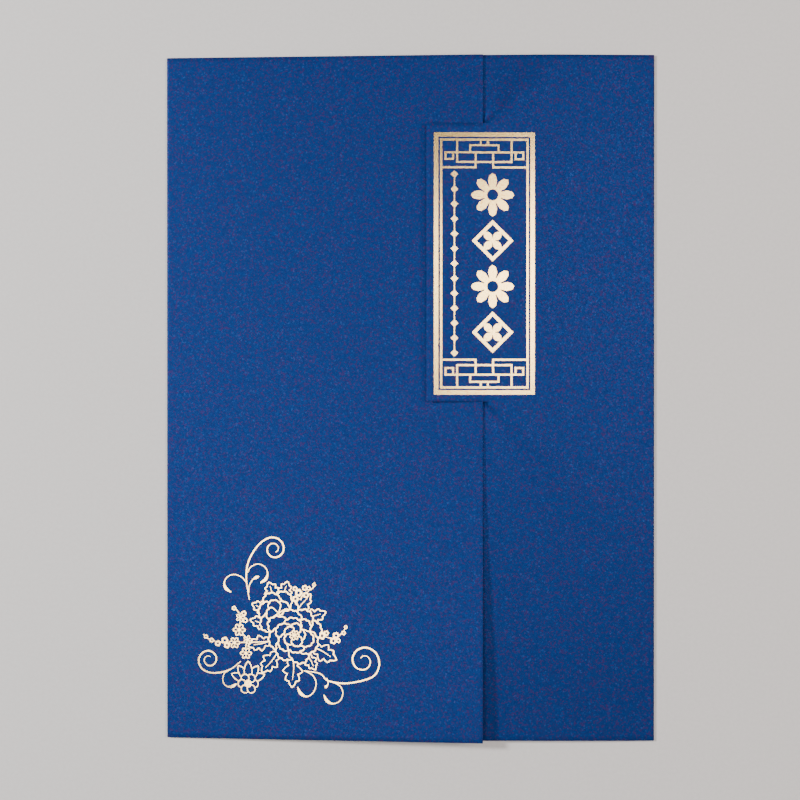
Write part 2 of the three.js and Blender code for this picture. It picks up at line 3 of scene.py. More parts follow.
import bmesh
import bpy
import numpy as np
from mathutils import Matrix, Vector


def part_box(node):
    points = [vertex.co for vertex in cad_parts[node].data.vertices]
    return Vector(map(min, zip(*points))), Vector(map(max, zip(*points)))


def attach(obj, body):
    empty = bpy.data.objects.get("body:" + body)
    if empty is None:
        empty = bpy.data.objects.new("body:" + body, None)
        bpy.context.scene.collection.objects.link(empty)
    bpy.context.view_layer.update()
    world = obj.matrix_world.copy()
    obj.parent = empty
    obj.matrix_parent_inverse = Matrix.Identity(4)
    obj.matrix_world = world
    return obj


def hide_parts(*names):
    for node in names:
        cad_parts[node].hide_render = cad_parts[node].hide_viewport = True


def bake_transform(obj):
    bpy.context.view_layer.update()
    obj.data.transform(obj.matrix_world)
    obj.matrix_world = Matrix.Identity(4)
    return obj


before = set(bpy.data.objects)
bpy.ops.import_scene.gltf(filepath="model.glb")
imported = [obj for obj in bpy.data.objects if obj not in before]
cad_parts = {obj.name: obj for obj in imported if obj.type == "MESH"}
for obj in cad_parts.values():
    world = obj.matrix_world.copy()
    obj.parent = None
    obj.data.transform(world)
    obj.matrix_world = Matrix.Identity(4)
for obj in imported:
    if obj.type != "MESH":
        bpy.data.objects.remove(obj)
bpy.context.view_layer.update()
mm = 0.001
tolerance = 0.01 * mm
smoothAngle = math.radians(35)

# Places that the frame gives
coverLow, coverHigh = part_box("left_cover")
baseLow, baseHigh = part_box("base_card")
tabLow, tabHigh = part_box("closure_tab")
leftEdge, rightEdge = coverLow.x, baseHigh.x
bottomEdge, topEdge = baseLow.y, baseHigh.y
seamX = coverHigh.x
tabEdgeX = tabLow.x

# The folded card has the solids' sizes, apart from the last four
card = {
    "thickness": 0.4 * mm,
    "foldGap": 0.7 * mm,
    "seamLift": 3.9 * mm,
    "curlLength": 135 * mm,
    "slitPastSeam": 2.2 * mm,
    "tabClearance": 0.3 * mm,
    "stripClearance": 0.8 * mm,  # 0.4 mm in the solids; deeper here, for the dark gap beside the seam
    "dartSpread": 1.2,  # how fast the dip beside a slit's end widens away from the tab
    "slitHalf": 0.12 * mm,
    "cutEdge": 0.05 * mm,
}
coverTop = 2 * card["thickness"] + card["foldGap"]
foldRadius = coverTop / 2
leftFoldX, rightFoldX = leftEdge + foldRadius, rightEdge - foldRadius
slitEndX = seamX + card["slitPastSeam"]
cornerLift = coverHigh.z - coverTop
curlStartY = bottomEdge + card["curlLength"]
tabOverSeam = coverTop + card["seamLift"] + card["tabClearance"] + card["thickness"]


def ease(value):
    value = min(max(value, 0), 1)
    return value * value * (3 - 2 * value)


def blendBetween(low, high, share):
    return low + (high - low) * share


def leftCoverHeight(x, y):
    lift = blendBetween(card["seamLift"], cornerLift, ease((curlStartY - y) / card["curlLength"]))
    return coverTop + lift * (x - leftFoldX) / (seamX - leftFoldX)


def stripHeight(x):
    return leftCoverHeight(x, curlStartY) - card["thickness"] - card["stripClearance"]


def labelHeight(x, y=0):
    return coverTop + (tabOverSeam - coverTop) * (rightFoldX - x) / (rightFoldX - seamX)


def rightCoverHeight(x, y):
    # level with the tab beside it; above and below, it sinks under the left cover in a widening dart
    if x <= seamX:
        return stripHeight(x)
    away = max(tabLow.y - y, y - tabHigh.y, 0)
    reach = min(slitEndX + card["dartSpread"] * away, rightFoldX)
    sunk = blendBetween(stripHeight(seamX), coverTop, (x - seamX) / (rightFoldX - seamX))
    return blendBetween(labelHeight(x), sunk, ease((reach - x) / (reach - seamX)))


def linear(hexColour):
    channels = [int(hexColour[at:at + 2], 16) / 255 for at in (1, 3, 5)]
    return [c / 12.92 if c <= 0.04045 else ((c + 0.055) / 1.055) ** 2.4 for c in channels] + [1]


def newMaterial(name):
    material = bpy.data.materials.new(name)
    material.use_nodes = True
    return material, material.node_tree.nodes["Principled BSDF"]


def setInputs(material, node, inputs):
    # an input takes a value, or the output that feeds it
    for name, value in inputs.items():
        if isinstance(value, bpy.types.NodeSocket):
            material.node_tree.links.new(value, node.inputs[name])
        else:
            node.inputs[name].default_value = value


def addNode(material, kind, inputs=None, stops=None, **settings):
    # stops are the places and colours along a ramp
    node = material.node_tree.nodes.new(kind)
    for name, value in settings.items():
        setattr(node, name, value)
    setInputs(material, node, inputs or {})
    if stops:
        ramp = node.color_ramp
        while len(ramp.elements) < len(stops):
            ramp.elements.new(0.5)
        for element, (place, colour) in zip(ramp.elements, stops):
            element.position = place
            element.color = linear(colour)
    return node


mixShare, mixFirst, mixSecond, mixed = 0, 6, 7, 2  # the colour sockets of a Mix node


def makePearlCard():
    # Pearlescent card: dyed paper pulp coated with mica, so it is satin and full of fine flecks.
    # Real flecks are too fine to show, so they are drawn a little wider than a pixel.
    deep, navy, teal, violet = "#082662", "#112F68", "#003878", "#36245C"
    values = {
        "fleck": 0.62 * mm,
        "fleckColours": [(0, deep), (0.3, navy), (0.6, navy), (0.78, teal), (0.8, violet), (1, violet)],
        "blotch": 2.2 * mm,
        "blotchColours": [(0.3, teal), (0.5, navy), (0.7, violet)],
        "blotchShare": 0.35,
        "mica": "#36589C",
        "micaFrom": 0.9,  # only the flecks above this carry mica
        "micaShare": 0.3,
        "roughness": (0.42, 0.6),
        "fibre": 0.3 * mm,
        "fibreDepth": 0.02 * mm,
        "fibreStrength": 0.3,
        "metallic": 0.5,
        "specular": 0.1,
    }
    material, shader = newMaterial("pearlescentCard")
    place = addNode(material, "ShaderNodeTexCoord").outputs["Object"]
    flecks = addNode(material, "ShaderNodeTexVoronoi", {"Vector": place, "Scale": 1 / values["fleck"]})
    cells = addNode(material, "ShaderNodeSeparateColor", {"Color": flecks.outputs["Color"]})
    fleckColour = addNode(material, "ShaderNodeValToRGB", {"Fac": cells.outputs["Red"]},
                          values["fleckColours"])
    blotches = addNode(material, "ShaderNodeTexNoise", {
        "Vector": place, "Scale": 1 / values["blotch"], "Detail": 3, "Roughness": 0.7})
    blotchColour = addNode(material, "ShaderNodeValToRGB", {"Fac": blotches.outputs["Fac"]},
                           values["blotchColours"])
    dyed = addNode(material, "ShaderNodeMix", {
        mixShare: values["blotchShare"], mixFirst: fleckColour.outputs["Color"],
        mixSecond: blotchColour.outputs["Color"]}, data_type="RGBA")
    mica = addNode(material, "ShaderNodeMapRange", {
        "Value": cells.outputs["Blue"], "From Min": values["micaFrom"], "To Max": values["micaShare"]})
    coated = addNode(material, "ShaderNodeMix", {
        mixShare: mica.outputs["Result"], mixFirst: dyed.outputs[mixed],
        mixSecond: linear(values["mica"])}, data_type="RGBA")
    gloss = addNode(material, "ShaderNodeMapRange", {
        "Value": cells.outputs["Green"], "To Min": values["roughness"][0],
        "To Max": values["roughness"][1]})
    fibres = addNode(material, "ShaderNodeTexNoise", {
        "Vector": place, "Scale": 1 / values["fibre"], "Detail": 4})
    bump = addNode(material, "ShaderNodeBump", {
        "Height": fibres.outputs["Fac"], "Strength": values["fibreStrength"],
        "Distance": values["fibreDepth"]})
    setInputs(material, shader, {
        "Base Color": coated.outputs[mixed], "Roughness": gloss.outputs["Result"],
        "Normal": bump.outputs["Normal"], "Metallic": values["metallic"],
        "Specular IOR Level": values["specular"]})
    return material


def makeStampedFoil():
    # Hot-stamped foil: an aluminium film tinted pale gold, pressed flat, with the card's grain in it
    values = {
        "colours": [(0.3, "#CC9C52"), (0.55, "#EBC684")],
        "grain": 0.5 * mm,
        "grainDepth": 0.02 * mm,
        "grainStrength": 0.3,
        "roughness": 0.18,
    }
    material, shader = newMaterial("hotStampedFoil")
    place = addNode(material, "ShaderNodeTexCoord").outputs["Object"]
    grain = addNode(material, "ShaderNodeTexNoise", {
        "Vector": place, "Scale": 1 / values["grain"], "Detail": 3})
    colour = addNode(material, "ShaderNodeValToRGB", {"Fac": grain.outputs["Fac"]}, values["colours"])
    bump = addNode(material, "ShaderNodeBump", {
        "Height": grain.outputs["Fac"], "Strength": values["grainStrength"],
        "Distance": values["grainDepth"]})
    setInputs(material, shader, {
        "Base Color": colour.outputs["Color"], "Normal": bump.outputs["Normal"],
        "Metallic": 1, "Roughness": values["roughness"]})
    return material


pearlCard = makePearlCard()
stampedFoil = makeStampedFoil()
print("materials made")


def deselectAll():
    bpy.ops.object.select_all(action="DESELECT")


def startGrid(name, low, high, across, along):
    deselectAll()
    bpy.ops.mesh.primitive_grid_add(x_subdivisions=across, y_subdivisions=along, size=1)
    piece = bpy.context.object
    piece.name = piece.data.name = name
    bpy.ops.object.mode_set(mode="EDIT")
    bpy.ops.transform.resize(value=(high[0] - low[0], high[1] - low[1], 1))
    bpy.ops.transform.translate(value=((low[0] + high[0]) / 2, (low[1] + high[1]) / 2, 0))
    return piece


def setHeights(piece, heightAt, onlySelected=False):
    shape = bmesh.from_edit_mesh(piece.data)
    for vertex in shape.verts:
        if vertex.select or not onlySelected:
            vertex.co.z = heightAt(vertex.co.x, vertex.co.y)
    bmesh.update_edit_mesh(piece.data)


def selectRim(piece, x, accept=None):
    # the open edges that stand at x, or those of them whose middle is at an accepted y
    bpy.ops.mesh.select_mode(type="EDGE")
    bpy.ops.mesh.select_all(action="DESELECT")
    shape = bmesh.from_edit_mesh(piece.data)
    for edge in shape.edges:
        middle = (edge.verts[0].co + edge.verts[1].co) / 2
        wanted = edge.is_boundary and abs(middle.x - x) < tolerance
        edge.select_set(wanted and (accept is None or accept(middle.y)))
    bmesh.update_edit_mesh(piece.data)


def pullOut(piece, stops, heightAt, moveAside):
    # extrudes the selected rim through each x, sets each new row on its height, and opens the slits
    for at, (here, there) in enumerate(zip(stops, stops[1:])):
        bpy.ops.mesh.extrude_edges_move(TRANSFORM_OT_translate={"value": (there - here, 0, 0)})
        setHeights(piece, heightAt, onlySelected=True)
        if at == 0:
            shape = bmesh.from_edit_mesh(piece.data)
            for vertex in shape.verts:
                if vertex.select:
                    vertex.co.y = moveAside(vertex.co.y)
            bmesh.update_edit_mesh(piece.data)


def foldOver(piece, foldX, turn, steps):
    # the selected rim goes half round the fold, and then along the back to where both sheets meet
    bpy.ops.mesh.spin(steps=steps, angle=math.pi, dupli=False,
                      center=(foldX, 0, foldRadius), axis=(0, turn, 0))
    bpy.ops.mesh.extrude_edges_move(TRANSFORM_OT_translate={"value": (baseLow.x - foldX, 0, 0)})


def finishSheet(piece, material):
    # one sheet of even thickness with softened cut edges
    values = {"mergeWithin": 0.001 * mm, "cornerAngle": math.radians(50), "cornerSteps": 2}
    bpy.ops.mesh.select_all(action="SELECT")
    bpy.ops.mesh.remove_doubles(threshold=values["mergeWithin"])
    bpy.ops.mesh.normals_make_consistent(inside=False)
    shape = bmesh.from_edit_mesh(piece.data)
    highest = max(shape.faces, key=lambda face: face.calc_center_median().z)
    if highest.normal.z < 0:
        bpy.ops.mesh.flip_normals()
    bpy.ops.object.mode_set(mode="OBJECT")
    thick = piece.modifiers.new("thickness", "SOLIDIFY")
    thick.thickness = card["thickness"]
    thick.offset = -1
    thick.use_even_offset = True
    bpy.ops.object.modifier_apply(modifier=thick.name)
    soft = piece.modifiers.new("cutEdges", "BEVEL")
    soft.width = card["cutEdge"]
    soft.segments = values["cornerSteps"]
    soft.limit_method = "ANGLE"
    soft.angle_limit = values["cornerAngle"]
    bpy.ops.object.modifier_apply(modifier=soft.name)
    bpy.ops.object.shade_smooth_by_angle(angle=smoothAngle)
    piece.data.materials.append(material)
    piece.select_set(False)


def makeLeftCover():
    values = {"across": 100, "along": 140, "foldSteps": 16}
    piece = startGrid("leftCoverCard", (leftFoldX, bottomEdge), (seamX, topEdge),
                      values["across"], values["along"])
    setHeights(piece, leftCoverHeight)
    selectRim(piece, leftFoldX)
    foldOver(piece, leftFoldX, 1, values["foldSteps"])
    finishSheet(piece, pearlCard)
    return piece


def besideTab(y):
    return tabLow.y < y < tabHigh.y


def beyondTab(y):
    return not besideTab(y)


def insideSlits(y):
    return min(max(y, tabLow.y + card["slitHalf"]), tabHigh.y - card["slitHalf"])


def outsideSlits(y):
    if y < (tabLow.y + tabHigh.y) / 2:
        return min(y, tabLow.y - card["slitHalf"])
    return max(y, tabHigh.y + card["slitHalf"])


def makeRightCover():
    values = {
        "across": 90,
        "along": 140,
        "foldSteps": 16,
        "stripSteps": 12,
        "tabSteps": 8,
        "dartRows": (0, 0.6 * mm, 1.3 * mm, 2.3 * mm, 3.6 * mm),  # extra rows above and below the tab
    }
    piece = startGrid("rightCoverCard", (slitEndX, bottomEdge), (rightFoldX, topEdge),
                      values["across"], values["along"])
    levels = [tabLow.y - row for row in values["dartRows"]]
    levels += [tabHigh.y + row for row in values["dartRows"]]
    for level in levels:
        bpy.ops.mesh.select_all(action="SELECT")
        bpy.ops.mesh.bisect(plane_co=(0, level, 0), plane_no=(0, 1, 0))
    setHeights(piece, rightCoverHeight)
    selectRim(piece, slitEndX, besideTab)
    tabStops = [blendBetween(slitEndX, tabEdgeX, step / values["tabSteps"])
                for step in range(values["tabSteps"] + 1)]
    pullOut(piece, tabStops, labelHeight, insideSlits)
    selectRim(piece, slitEndX, beyondTab)
    stripStops = [blendBetween(slitEndX, seamX, step / values["stripSteps"])
                  for step in range(values["stripSteps"] + 1)]
    pullOut(piece, stripStops + [tabEdgeX], rightCoverHeight, outsideSlits)
    selectRim(piece, rightFoldX)
    foldOver(piece, rightFoldX, -1, values["foldSteps"])
    finishSheet(piece, pearlCard)
    return piece


leftCover = makeLeftCover()
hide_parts("left_cover")
rightCover = makeRightCover()
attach(rightCover, "base")
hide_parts("base_card", "closure_tab")
print("card folded")

for name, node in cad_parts.items():
    if name.endswith("_foil"):
        for slot in node.material_slots:
            slot.material = stampedFoil


# The ornament is drawn in mm about its own middle and then laid on the left cover

def evenly(points, spacing):
    # the same line in steps of one length
    lengths = np.append(0, np.cumsum(np.linalg.norm(np.diff(points, axis=0), axis=1)))
    count = max(int(lengths[-1] / spacing), 3)
    steps = np.linspace(0, lengths[-1], count + 1)
    return np.column_stack([np.interp(steps, lengths, points[:, axis]) for axis in (0, 1)])


def alongCurve(points, spacing, fineness=24):
    # a smooth curve through the points (Catmull-Rom)
    points = np.array(points, float)
    padded = np.vstack([2 * points[0] - points[1], points, 2 * points[-1] - points[-2]])
    dense = []
    for at in range(len(padded) - 3):
        p0, p1, p2, p3 = padded[at:at + 4]
        t = np.linspace(0, 1, fineness, endpoint=False)[:, None]
        dense.append(0.5 * (2 * p1 + (p2 - p0) * t + (2 * p0 - 5 * p1 + 4 * p2 - p3) * t ** 2
                            + (3 * p1 - p0 - 3 * p2 + p3) * t ** 3))
    return evenly(np.vstack(dense + [padded[-2][None]]), spacing)


def placed(points, foot, degrees):
    turn = math.radians(degrees)
    points = np.array(points, float)
    return np.column_stack([foot[0] + points[:, 0] * math.cos(turn) - points[:, 1] * math.sin(turn),
                            foot[1] + points[:, 0] * math.sin(turn) + points[:, 1] * math.cos(turn)])


def insideOf(points, outline):
    # which points lie inside a closed outline
    x, y = points[:, 0][:, None], points[:, 1][:, None]
    x0, y0 = outline[:, 0], outline[:, 1]
    x1, y1 = np.roll(x0, -1), np.roll(y0, -1)
    crosses = (y0 > y) != (y1 > y)
    reach = x0 + (y - y0) * (x1 - x0) / np.where(y1 == y0, 1, y1 - y0)
    return (np.sum(crosses & (x < reach), axis=1) % 2) == 1


fullTurn = np.linspace(0, 2 * math.pi, 61)


def roundRim(x, y, radius):
    return np.column_stack([x + radius * np.cos(fullTurn), y + radius * np.sin(fullTurn)])


def petalRim(length, breadth, lobes):
    values = {"waist": 0.52, "reach": 2.15, "lobeDepth": 0.1, "steps": 90}
    share = np.linspace(0, 1, values["steps"])
    angle = values["reach"] * (2 * share - 1)
    swell = 1 - values["lobeDepth"] * (1 - np.abs(np.sin(math.pi * lobes * share)))
    u = length * (values["waist"] + (1 - values["waist"]) * np.cos(angle) * swell)
    v = breadth / 2 * np.sin(angle) * swell
    return np.vstack([[[0, 0]], np.column_stack([u, v]), [[0, 0]]])


def leafRim(length, breadth, side):
    # each step of the side bulges out a little between its corners
    values = {"steps": 6, "bulge": 0.35}
    corners = [(0, 0)] + [(u * length, -v * breadth / 2) for u, v in side] + [(length, 0)]
    corners += [(u * length, v * breadth / 2) for u, v in reversed(side)] + [(0, 0)]
    rim = []
    for (x0, y0), (x1, y1) in zip(corners, corners[1:]):
        for step in range(values["steps"]):
            share = step / values["steps"]
            bulge = values["bulge"] * share * (1 - share)
            rim.append((x0 + (x1 - x0) * share + bulge * (y1 - y0),
                        y0 + (y1 - y0) * share - bulge * (x1 - x0)))
    return np.array(rim + [(0, 0)])


# Each of these gives a line's width at a share of its length

def evenLine(width):
    return lambda share: width


def penLine(width, ends=0.82, swell=0.3):
    # swells in its middle, as a brush line does
    return lambda share: width * (ends + swell * math.sin(math.pi * share) ** 2)


def ribLine(width, taper=0.5):
    # thins towards the leaf's tip
    return lambda share: width * (1 - taper * share)


def vineLine(tip, width, tipShare=0.25):
    # thin at both ends
    return lambda share: blendBetween(tip, width, ease(min(share, 1 - share) / tipShare))


def budLine(tip, width):
    # a thin stem with a bud near its end
    values = {"place": 0.86, "length": 0.12, "endWidth": 0.6, "endShare": 0.2}

    def widthAt(share):
        stem = tip * blendBetween(values["endWidth"], 1, ease((1 - share) / values["endShare"]))
        return stem + (width - tip) * math.exp(-((share - values["place"]) / values["length"]) ** 2)

    return widthAt


class FoilDrawing:
    # Shapes from back to front: each hides what lies behind its rim
    def __init__(self):
        self.strokes = []
        self.covers = []

    def line(self, points, width):
        widths = np.array([width(share) for share in np.linspace(0, 1, len(points))])
        self.strokes.append((len(self.covers), points, widths))

    def shape(self, rim, width):
        rim = evenly(rim, ornament["spacing"]["rim"])
        self.covers.append(rim)
        self.line(rim, width)

    def visible(self):
        for layer, points, widths in self.strokes:
            hidden = np.zeros(len(points), bool)
            for cover in self.covers[layer:]:
                hidden |= insideOf(points, cover)
            run = []
            for at, gone in enumerate(hidden):
                if not gone:
                    run.append(at)
                if (gone or at == len(points) - 1) and len(run) > 1:
                    yield layer, points[run], widths[run]
                if gone:
                    run = []


def addBlossom(drawing, x, y, radius, lobes=5):
    # a small one is a waved ring; a large one has a petal in each lobe and a heart
    values = {
        "rim": 0.84,
        "wave": 0.14,
        "smallBelow": 2,
        "ringLine": 0.42,
        "petalMiddle": 0.54,
        "petalLength": 0.36,
        "petalBreadth": 0.24,
        "petalLine": 0.16,
        "heart": 0.1,
        "heartLine": 0.2,
    }
    spacing = ornament["spacing"]
    outline = roundRim(x, y, radius * (values["rim"] + values["wave"] * np.cos(lobes * fullTurn)))
    drawing.covers.append(outline)
    if radius < values["smallBelow"]:
        width = values["ringLine"] * radius
        inner = 1 - width / 2 / radius
        drawing.line(evenly([x, y] + (outline - [x, y]) * inner, spacing["blossom"]), evenLine(width))
        return
    petal = np.column_stack([
        radius * (values["petalMiddle"] + values["petalLength"] * np.cos(fullTurn)),
        radius * values["petalBreadth"] * np.sin(fullTurn)])
    for lobe in range(lobes):
        drawing.line(evenly(placed(petal, (x, y), 360 * lobe / lobes), spacing["blossom"]),
                     evenLine(values["petalLine"] * radius))
    heart = roundRim(x, y, values["heart"] * radius)
    drawing.line(evenly(heart, spacing["blossomHeart"]), evenLine(values["heartLine"] * radius))


# A leaf is x, y, direction in degrees, length and breadth; a ring of a peony is petals, length, breadth,
# lobes and turn; a blossom is x, y, radius and lobes, 5 unless given; a scroll's spiral is x, y, outer
# radius, inner radius, start in degrees and turns, and a scroll that has none ends in a bud
ornament = {
    "middle": (-54.7, -100.4),
    "petalLine": 0.5,
    "leafLine": 0.46,
    "sprigLine": 0.42,
    "vine": (0.32, 0.64),  # at its ends and between them
    "bud": (0.38, 1.3),  # its stem and itself
    "gap": 0.04,  # between the card and the foil
    "thickness": 0.08,
    "layer": 0.0006,  # how far each shape lies above the one before it
    "spacing": {"rim": 0.28, "stem": 0.3, "scroll": 0.35, "blossom": 0.2, "blossomHeart": 0.15,
                "rosetteHeart": 0.25},
    "petalChange": 0.07,  # how much the petals of a ring differ in size
    "petalPhase": 2.4,
    "leafSide": [(0.18, 0.58), (0.3, 0.42), (0.48, 1), (0.57, 0.52), (0.76, 0.7), (0.8, 0.36)],
    "leafRib": [(0, 0), (0.4, 0.03), (0.76, 0)],
    "crownSide": [(0.3, 0.85), (0.62, 0.9)],
    "peonies": [
        {"centre": (-4.2, 3.4), "rings": [(7, 10, 8.8, 7, 0.34), (5, 6.2, 6.2, 5, 0.9)]},
        {"centre": (2.9, -6.5), "rings": [(8, 12.6, 10.4, 8, 0.28), (6, 8.6, 8.2, 7, 0.75),
                                          (5, 5.2, 5.2, 5, 0.1)]},
    ],
    "heart": (2.9, -6.5, 2.4, 7),
    "leaves": [
        (-5.8, 9.6, 112, 8.2, 7.4), (-2.5, 9.5, 74, 8.5, 6.8), (3.5, 3.5, 52, 11, 7), (7, 0, 22, 11, 7.2),
        (11, -11.5, -28, 12.5, 8.4), (8.5, -15, -60, 8, 6), (2.4, -16, -92, 14, 9),
        (-4.5, -14, -128, 12, 8), (-7.5, -9, -166, 11, 7.2), (-8, -2, 166, 9.5, 6.6),
        (-9, 4.5, 158, 8, 6.2),
    ],
    "sprigs": [
        {"path": [(-8.5, -9.5), (-19, -10), (-31, -10), (-37, -8.2), (-38.5, -6.6)],
         "blossoms": [(-37.4, -7.6, 1), (-34.8, -9.2, 1.15), (-32, -10.6, 1.4), (-28.8, -9.2, 1.7),
                      (-27.8, -11.4, 1.5), (-24.3, -10.2, 2.7, 6), (-18.4, -8.8, 2.1)]},
        {"path": [(-19, -8), (-22, -4), (-21.6, 1.5), (-24, 5.2), (-25.6, 5.6)],
         "blossoms": [(-24.6, 5.4, 1.1), (-20.1, 3.1, 1.3), (-19.5, -0.1, 1.3), (-21.7, 1.2, 2.2),
                      (-22.2, -4.4, 3, 6)]},
        {"path": [(-18.4, -8.8), (-19.2, -12), (-19.1, -15)], "blossoms": [(-19.1, -14.9, 2.8, 6)]},
        {"path": [(1, 8.5), (4.2, 11.4), (8, 12.6), (11.6, 15.2), (12, 17.4)],
         "blossoms": [(11.8, 16.2, 0.9), (9.4, 14.6, 1.1), (3.2, 14.4, 1.2), (7.6, 14.8, 1.4),
                      (8.2, 11.6, 1.5), (4.8, 12.6, 1.8), (3.4, 9.8, 1.6)]},
        {"path": [(13, -6), (16.5, -7), (21, -7.6), (24.6, -5.2), (26.4, -2.2)],
         "blossoms": [(26.2, -2.6, 0.9), (25.2, -5.2, 1.1), (17.4, -5.4, 1.3), (21.8, -6.4, 1.6),
                      (20.6, -8.8, 1.6), (22.8, -8.7, 1.2), (15.4, -6.6, 1.8)]},
    ],
    "rosette": {"centre": (-18.1, -28.6), "foot": 1.5, "crownBreadth": 3.6,
                "crown": [(20, 8), (160, 8), (55, 8), (125, 8), (90, 8.6)],
                "petals": 6, "petalMiddle": 2.8, "petalRadius": 2, "heart": 1.7},
    "spiralSteps": 13,
    "spiralEase": 0.8,
    "scrolls": {
        "scroll_upper_foil": [
            ([(-17.6, 9.2), (-19, 18.8), (-18, 26.5), (-14, 33.4)], (-6.4, 32.2, 5.6, 1.6, 120, -1.5)),
            ([(-18.6, 21.4), (-16.8, 24.2), (-13.6, 25.4), (-10.6, 24.1), (-9.3, 21.4), (-10.2, 18.6),
              (-12.6, 16.9)], None),
            ([(-17.9, 12.5), (-17.7, 15.4), (-16, 18.4), (-13.2, 19.9)], None),
            ([(-18.5, 16.4), (-21, 19.3), (-24.6, 20.6), (-27.8, 19.3), (-29.1, 16.6), (-28.2, 14.2),
              (-26, 12.6)], None),
        ],
        "scroll_left_foil": [
            ([(-21.5, -18.6), (-26.5, -22.4), (-33, -24)], (-36, -18, 5.4, 1.5, -115, -1.5)),
            ([(-26.4, -22.4), (-28.9, -24.1), (-29.7, -27), (-28.6, -29.5), (-26, -30.2),
              (-23.4, -28.8)], None),
        ],
        "scroll_right_foil": [
            ([(7.2, -22.4), (14.5, -23.6), (18.4, -26.8), (27.2, -27.7)],
             (34.2, -17.6, 8.2, 1.8, -62, 1.55)),
            ([(20.8, -27.4), (23.8, -29.2), (24.9, -32.2), (23.6, -35.6), (20.6, -37), (17.8, -35.8),
              (16.4, -33.2)], None),
            ([(8, -22.5), (11.4, -24.6), (12.8, -28), (11.6, -32), (8.6, -34), (5.8, -32.6),
              (4.4, -29.8)], None),
            ([(17.6, -25.6), (18.3, -28), (16.8, -30)], None),
        ],
    },
}


def drawPeonySpray():
    drawing = FoilDrawing()
    stemStep = ornament["spacing"]["stem"]
    for x, y, degrees, length, breadth in ornament["leaves"]:
        rim = leafRim(length, breadth, ornament["leafSide"])
        drawing.shape(placed(rim, (x, y), degrees), penLine(ornament["leafLine"]))
        rib = [(u * length, v * length) for u, v in ornament["leafRib"]]
        drawing.line(alongCurve(placed(rib, (x, y), degrees), stemStep), ribLine(ornament["leafLine"]))
    for sprig in ornament["sprigs"]:
        drawing.line(alongCurve(sprig["path"], stemStep), evenLine(ornament["sprigLine"]))
        for blossom in sprig["blossoms"]:
            addBlossom(drawing, *blossom)
    for peony in ornament["peonies"]:
        for petals, length, breadth, lobes, turn in peony["rings"]:
            for petal in range(petals):
                vary = 1 + ornament["petalChange"] * math.sin(ornament["petalPhase"] * (petal + petals))
                rim = petalRim(length * vary, breadth / vary, lobes)
                drawing.shape(placed(rim, peony["centre"], math.degrees(turn) + 360 * petal / petals),
                              penLine(ornament["petalLine"]))
    addBlossom(drawing, *ornament["heart"])
    return drawing


def drawRosette():
    values = ornament["rosette"]
    x, y = values["centre"]
    drawing = FoilDrawing()
    for degrees, length in values["crown"]:
        rim = leafRim(length, values["crownBreadth"], ornament["crownSide"])
        drawing.shape(placed(rim, (x, y + values["foot"]), degrees), penLine(ornament["sprigLine"]))
    for petal in range(values["petals"]):
        angle = 2 * math.pi * petal / values["petals"]
        petalX = x + values["petalMiddle"] * math.cos(angle)
        petalY = y + values["petalMiddle"] * math.sin(angle)
        drawing.shape(roundRim(petalX, petalY, values["petalRadius"] - ornament["sprigLine"] / 2),
                      evenLine(ornament["sprigLine"]))
    heart = roundRim(x, y, values["heart"] / 2)
    drawing.line(evenly(heart, ornament["spacing"]["rosetteHeart"]), evenLine(values["heart"]))
    return drawing


def spiralPoints(x, y, outer, inner, start, turns):
    share = np.linspace(0, 1, ornament["spiralSteps"])
    angle = math.radians(start) + 2 * math.pi * turns * share
    radius = outer + (inner - outer) * share ** ornament["spiralEase"]
    return list(zip(x + radius * np.cos(angle), y + radius * np.sin(angle)))


def drawScrolls(strokes):
    drawing = FoilDrawing()
    for path, spiral in strokes:
        if spiral:
            path = path + spiralPoints(*spiral)
            width = vineLine(*ornament["vine"])
        else:
            width = budLine(*ornament["bud"])
        drawing.line(alongCurve(path, ornament["spacing"]["scroll"]), width)
    return drawing


def makeFoil(name, drawing):
    # flat strips swept along the lines, made into a mesh and laid on the cover
    deselectAll()
    bpy.ops.curve.primitive_bezier_circle_add()
    section = bpy.context.object
    section.data.splines.clear()
    strip = section.data.splines.new("POLY")
    strip.points.add(3)
    half = 0.5 * mm  # the strip is 1 mm wide, so a point's radius is the line's width in mm
    thin = ornament["thickness"] * mm / 2
    for point, place in zip(strip.points, [(-half, -thin), (half, -thin), (half, thin), (-half, thin)]):
        point.co = (*place, 0, 1)
    strip.use_cyclic_u = True
    deselectAll()
    bpy.ops.curve.primitive_bezier_curve_add()
    piece = bpy.context.object
    piece.name = piece.data.name = name
    piece.data.splines.clear()
    piece.data.twist_mode = "Z_UP"
    piece.data.bevel_mode = "OBJECT"
    piece.data.bevel_object = section
    piece.data.use_fill_caps = True
    for layer, points, widths in drawing.visible():
        spline = piece.data.splines.new("POLY")
        spline.points.add(len(points) - 1)
        for point, place, width in zip(spline.points, points + ornament["middle"], widths):
            point.co = (place[0] * mm, place[1] * mm, layer * ornament["layer"] * mm, 1)
            point.radius = width
    bpy.ops.object.convert(target="MESH")
    bpy.data.objects.remove(section)
    bpy.ops.object.mode_set(mode="EDIT")
    lift = (ornament["gap"] + ornament["thickness"] / 2) * mm
    shape = bmesh.from_edit_mesh(piece.data)
    for vertex in shape.verts:
        vertex.co.z += leftCoverHeight(vertex.co.x, vertex.co.y) + lift
    bmesh.update_edit_mesh(piece.data)
    bpy.ops.mesh.select_all(action="SELECT")
    bpy.ops.mesh.normals_make_consistent(inside=False)
    bpy.ops.object.mode_set(mode="OBJECT")
    bpy.ops.object.shade_smooth_by_angle(angle=smoothAngle)
    piece.data.materials.append(stampedFoil)
    return piece


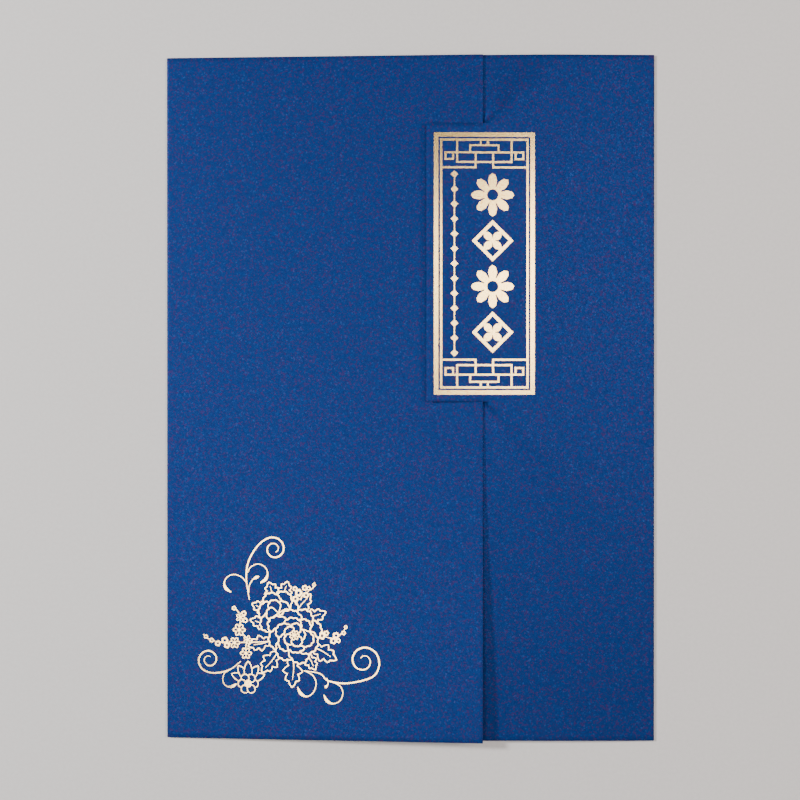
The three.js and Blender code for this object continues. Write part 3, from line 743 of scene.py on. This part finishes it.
drawings = {"peony_foil": drawPeonySpray(), "rosette_foil": drawRosette()}
for node, strokes in ornament["scrolls"].items():
    drawings[node] = drawScrolls(strokes)
for node, drawing in drawings.items():
    foil = makeFoil("fine_" + node, drawing)
    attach(foil, "left_cover")
    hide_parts(node)
print("ornament drawn")

stage = {
    "size": 6,
    "colours": [(0.3, "#D5D3D1"), (0.7, "#DAD8D6")],
    "stipple": 1.6 * mm,
    "stippleDepth": 0.05 * mm,
    "stippleStrength": 0.1,
    "roughness": 0.9,
}


def makeFloorPaint():
    # Matt wall paint, put on with a roller: dull, with a faint stipple
    material, shader = newMaterial("paleFloorPaint")
    place = addNode(material, "ShaderNodeTexCoord").outputs["Object"]
    stipple = addNode(material, "ShaderNodeTexNoise", {
        "Vector": place, "Scale": 1 / stage["stipple"], "Detail": 3})
    colour = addNode(material, "ShaderNodeValToRGB", {"Fac": stipple.outputs["Fac"]}, stage["colours"])
    bump = addNode(material, "ShaderNodeBump", {
        "Height": stipple.outputs["Fac"], "Strength": stage["stippleStrength"],
        "Distance": stage["stippleDepth"]})
    setInputs(material, shader, {
        "Base Color": colour.outputs["Color"], "Normal": bump.outputs["Normal"],
        "Roughness": stage["roughness"]})
    return material


deselectAll()
bpy.ops.mesh.primitive_plane_add(size=stage["size"], location=(0, 0, 0))
floor = bpy.context.object
floor.name = "floor"
floor.data.materials.append(makeFloorPaint())

# Soft boxes, in metres and watts
lights = {
    "keyFromLeft": {"place": (-0.95, 0.25, 0.9), "aim": (0, 0, 0), "size": (0.16, 0.2), "power": 17.5},
    "fromRight": {"place": (0.9, 0.1, 0.95), "aim": (0, 0, 0), "size": (0.16, 0.3), "power": 7.5,
                  "colour": "#FFE6DA"},
    "overRightSide": {"place": (0.39, 0.17, 1.3), "aim": (0.05, 0.05, 0), "size": (0.24, 0.5),
                      "power": 4.3},
    "overLowerLeft": {"place": (-0.3, -0.22, 1.3), "aim": (-0.05, -0.05, 0), "size": (0.36, 0.32),
                      "power": 4.2},
}
room = {"colour": "#E6E6E8", "strength": 0.19}


def addSoftbox(name, place, aim, size, power, colour="#FFFFFF"):
    light = bpy.data.lights.new(name, "AREA")
    light.shape = "RECTANGLE"
    light.size, light.size_y = size
    light.energy = power
    light.color = linear(colour)[:3]
    holder = bpy.data.objects.new(name, light)
    bpy.context.scene.collection.objects.link(holder)
    holder.location = place
    holder.rotation_euler = (Vector(aim) - Vector(place)).to_track_quat("-Z", "Y").to_euler()


for name, settings in lights.items():
    addSoftbox(name, **settings)
world = bpy.data.worlds.new("softRoom")
world.use_nodes = True
world.node_tree.nodes["Background"].inputs["Color"].default_value = linear(room["colour"])
world.node_tree.nodes["Background"].inputs["Strength"].default_value = room["strength"]
bpy.context.scene.world = world

camera = {
    "distance": 0.75,
    "lens": 74.92,
    "sensor": 36,
    "swing": 1.9,  # degrees, as the pitch is
    "pitch": 0.2,
    "aim": (-4.2 * mm, -0.9 * mm, 3 * mm),
}
lens = bpy.data.cameras.new("photoCamera")
lens.lens = camera["lens"]
lens.sensor_width = camera["sensor"]
viewer = bpy.data.objects.new("photoCamera", lens)
bpy.context.scene.collection.objects.link(viewer)
viewer.rotation_euler = (-math.radians(camera["pitch"]), math.radians(camera["swing"]), 0)
back = viewer.rotation_euler.to_matrix() @ Vector((0, 0, camera["distance"]))
viewer.location = Vector(camera["aim"]) + back
bpy.context.scene.camera = viewer
print("stage, light and camera set")

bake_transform(leftCover)
